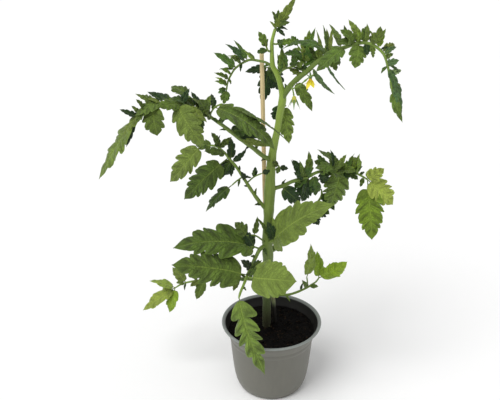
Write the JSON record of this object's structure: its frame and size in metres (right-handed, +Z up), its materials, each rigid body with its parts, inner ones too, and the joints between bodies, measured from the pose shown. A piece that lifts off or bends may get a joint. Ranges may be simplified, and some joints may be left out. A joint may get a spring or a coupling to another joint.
{
  "type": "potted tomato plant",
  "caption": "Young staked tomato plant with drooping compound leaves and a yellow flower, in a tapered round nursery pot filled with soil.",
  "frame": {"origin": "centre of the pot's foot, on the surface it stands on", "axes": "+Z up along the pot's axis and the stem, +X to the side of the right-hand leaves, -Y to the front"},
  "size_m": [0.3243, 0.1496, 0.4862],
  "materials": {
    "pot": "satin",
    "soil": "matte",
    "cane": "matte",
    "stem": "satin",
    "leaf": "satin",
    "petal": "matte"
  },
  "bodies": {
    "root": {"pot": "pot", "soil": "soil", "cane": "cane", "main_stem": "stem", "leaf_upper_left": "leaf", "leaf_mid_left": "leaf", "leaf_mid_right": "leaf", "leaf_centre_right": "leaf", "leaf_behind_centre": "leaf", "leaf_front": "leaf", "leaf_lower_left": "leaf", "leaf_lower_right": "leaf", "leaf_top_curl": "leaf", "leaf_behind_cane": "leaf", "leaf_behind_fork": "leaf", "leaf_top_right": "leaf", "shoot_top_centre": "leaf", "shoot_leader_side": "leaf", "leaf_apex": "leaf", "leaf_leader_left": "leaf", "leaf_leader_right": "leaf", "shoot_axil": "leaf", "flower_truss": "stem", "flower_corolla": "petal"}
  },
  "joints": []
}
